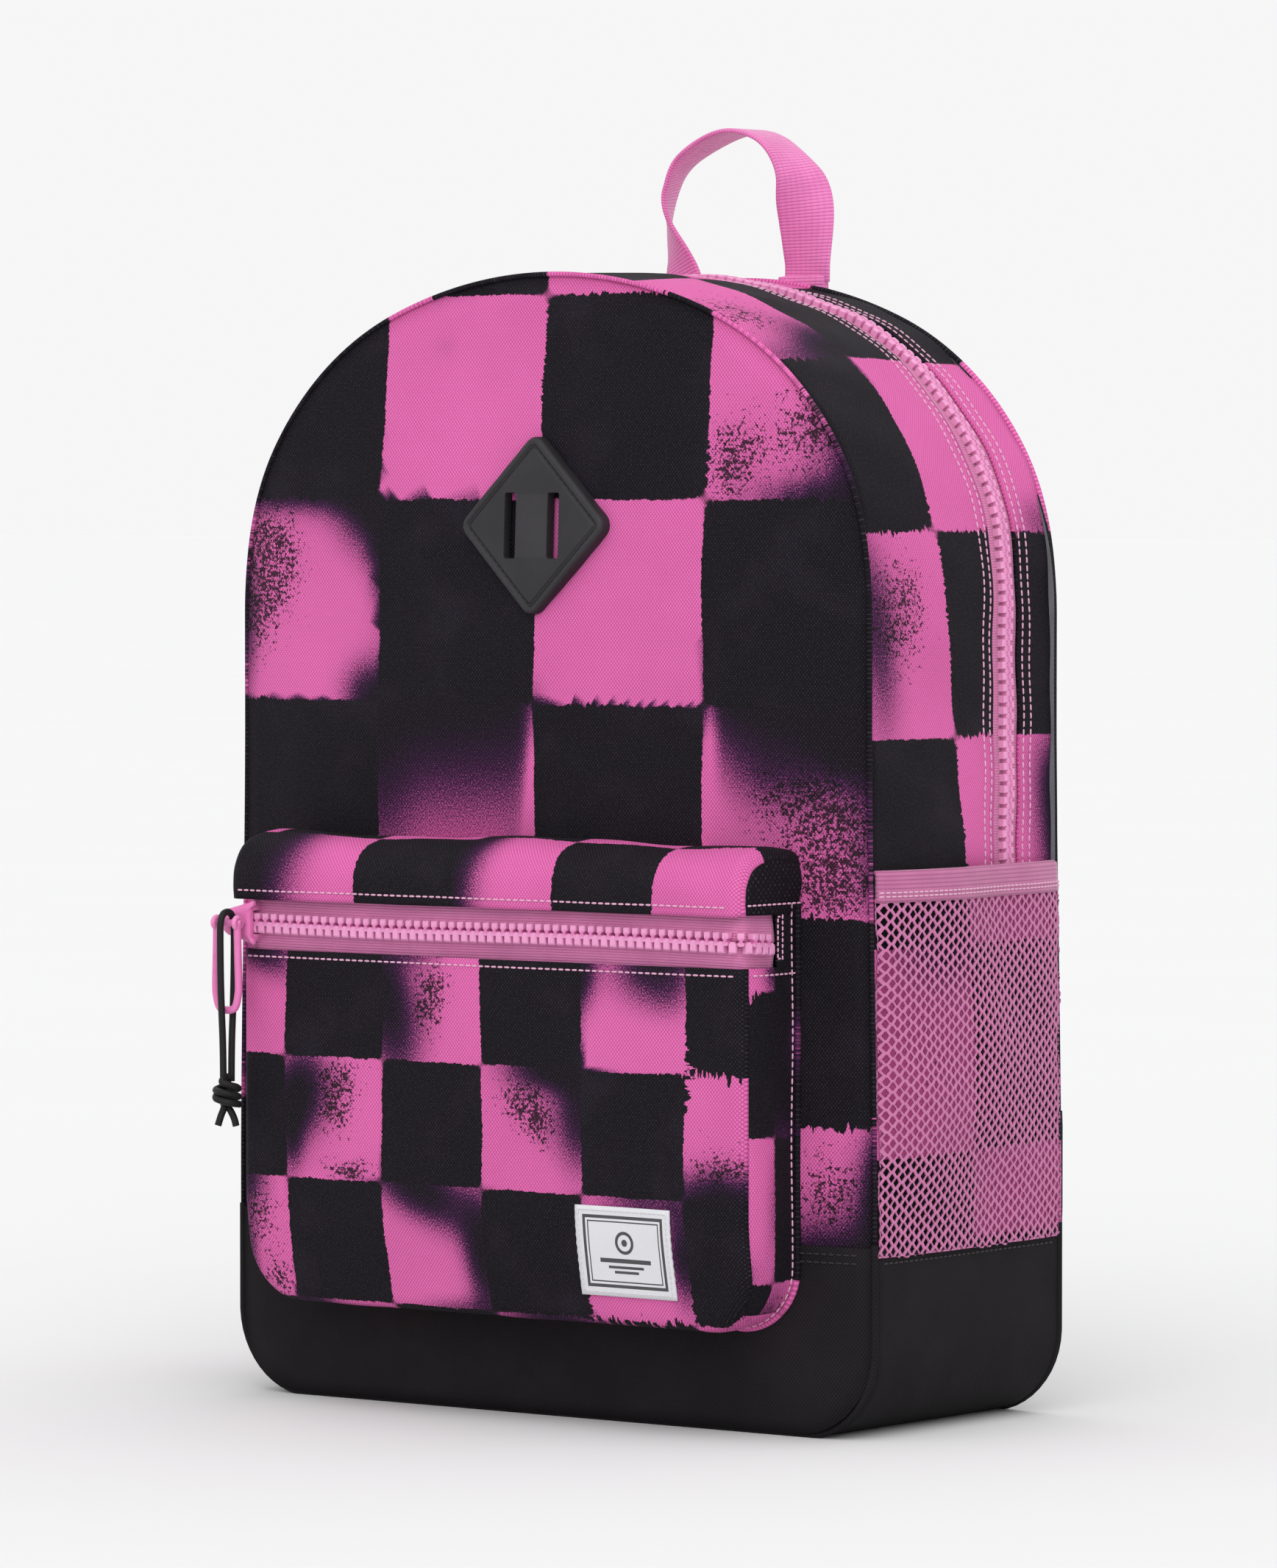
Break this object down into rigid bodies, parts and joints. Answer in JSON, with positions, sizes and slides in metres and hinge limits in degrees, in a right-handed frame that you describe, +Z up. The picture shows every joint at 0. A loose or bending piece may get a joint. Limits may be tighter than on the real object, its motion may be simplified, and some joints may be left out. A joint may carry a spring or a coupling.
{
  "type": "school backpack",
  "caption": "Soft school backpack with an arched zipped front, a box-shaped front pocket, net side pockets, a webbing handle and padded shoulder straps.",
  "frame": {"origin": "centre of the flat base, on the floor", "axes": "+Z up, -Y out of the front pocket, +Y towards the wearer's back, +X to the right seen from the front"},
  "size_m": [0.3141, 0.2032, 0.477],
  "materials": {
    "printed_fabric": "woven, printed checkerboard",
    "black_fabric": "woven",
    "back_mesh": "air mesh over foam",
    "board": "matt",
    "zip_tape": "woven tape",
    "zip_plastic": "satin moulded",
    "label": "woven label",
    "pocket_net": "knitted net",
    "elastic": "ribbed elastic",
    "lining": "plain lining",
    "patch_rubber": "matt moulded",
    "handle_webbing": "ribbed webbing",
    "strap_fabric": "woven over foam",
    "strap_webbing": "ribbed webbing",
    "black_plastic": "moulded",
    "cord": "braided"
  },
  "bodies": {
    "bag": {"front_panel_lower": "printed_fabric", "side_panel_left": "printed_fabric", "side_panel_right": "printed_fabric", "gusset_front_left": "printed_fabric", "gusset_front_right": "printed_fabric", "gusset_rear": "printed_fabric", "pocket_front_panel": "printed_fabric", "pocket_side_left": "printed_fabric", "pocket_side_right": "printed_fabric", "pocket_bottom": "printed_fabric", "pocket_hood": "printed_fabric", "pocket_zip_ends": "printed_fabric", "seam_front_lower": "printed_fabric", "seam_rear": "printed_fabric", "back_panel": "black_fabric", "boot_front": "black_fabric", "boot_side_left": "black_fabric", "boot_side_right": "black_fabric", "boot_base": "black_fabric", "back_pad": "back_mesh", "base_board": "board", "main_tape_rear": "zip_tape", "main_tape_front_lower": "zip_tape", "pocket_tape_upper": "zip_tape", "pocket_tape_lower": "zip_tape", "main_teeth_rear": "zip_plastic", "main_teeth_front_lower": "zip_plastic", "pocket_teeth_upper": "zip_plastic", "pocket_teeth_lower": "zip_plastic", "label": "label", "side_pocket_net_left": "pocket_net", "side_pocket_net_right": "pocket_net", "side_pocket_elastic_left": "elastic", "side_pocket_elastic_right": "elastic", "sleeve_panel": "lining", "sleeve_binding": "lining", "handle_anchor": "handle_webbing", "strap_yoke": "strap_fabric", "strap_tab_left": "strap_fabric", "strap_tab_right": "strap_fabric"},
    "front_flap": {"front_panel_upper": "printed_fabric", "gusset_front_upper": "printed_fabric", "main_tape_front_upper": "zip_tape", "main_teeth_front_upper": "zip_plastic", "seam_front_upper": "printed_fabric", "lash_patch": "patch_rubber"},
    "handle": {"handle_webbing": "handle_webbing"},
    "strap_left": {"strap_pad_left": "strap_fabric", "ladder_lock_left": "black_plastic", "strap_webbing_left": "strap_webbing"},
    "strap_right": {"strap_pad_right": "strap_fabric", "ladder_lock_right": "black_plastic", "strap_webbing_right": "strap_webbing"},
    "main_slider": {"main_slider": "zip_plastic"},
    "main_pull": {"main_pull": "zip_plastic"},
    "pocket_slider": {"pocket_slider": "zip_plastic"},
    "pocket_pull": {"pocket_pull": "zip_plastic", "pull_cord": "cord", "pull_cord_knot": "cord"}
  },
  "joints": [
    {"name": "flap_fold", "type": "hinge", "parent": "bag", "child": "front_flap", "pos_m": [0, -0.066, 0.24], "axis": [1, 0, 0], "range_deg": [0, 45]},
    {"name": "handle_swing", "type": "hinge", "parent": "bag", "child": "handle", "pos_m": [0, 0.0605, 0.4216], "axis": [1, 0, 0], "range_deg": [-70, 45], "stiffness_Nm_per_rad": 0.03},
    {"name": "strap_left_swing", "type": "hinge", "parent": "bag", "child": "strap_left", "pos_m": [-0.07, 0.066, 0.358], "axis": [0.2957, 0.0184, 0.9551], "range_deg": [0, 40]},
    {"name": "strap_right_swing", "type": "hinge", "parent": "bag", "child": "strap_right", "pos_m": [0.07, 0.066, 0.358], "axis": [0.2957, -0.0184, -0.9551], "range_deg": [0, 40]},
    {"name": "main_slider_travel", "type": "slide", "parent": "bag", "child": "main_slider", "axis": [0, 0, 1], "range_m": [0, 0.072]},
    {"name": "main_pull_swing", "type": "hinge", "parent": "main_slider", "child": "main_pull", "pos_m": [-0.1567, 0.027, 0.2145], "axis": [0, 1, 0], "range_deg": [0, 150]},
    {"name": "pocket_slider_travel", "type": "slide", "parent": "bag", "child": "pocket_slider", "axis": [1, 0, 0], "range_m": [0, 0.205]},
    {"name": "pocket_pull_swing", "type": "hinge", "parent": "pocket_slider", "child": "pocket_pull", "pos_m": [-0.1135, -0.1077, 0.18], "axis": [-1, 0, 0], "range_deg": [0, 120]}
  ]
}
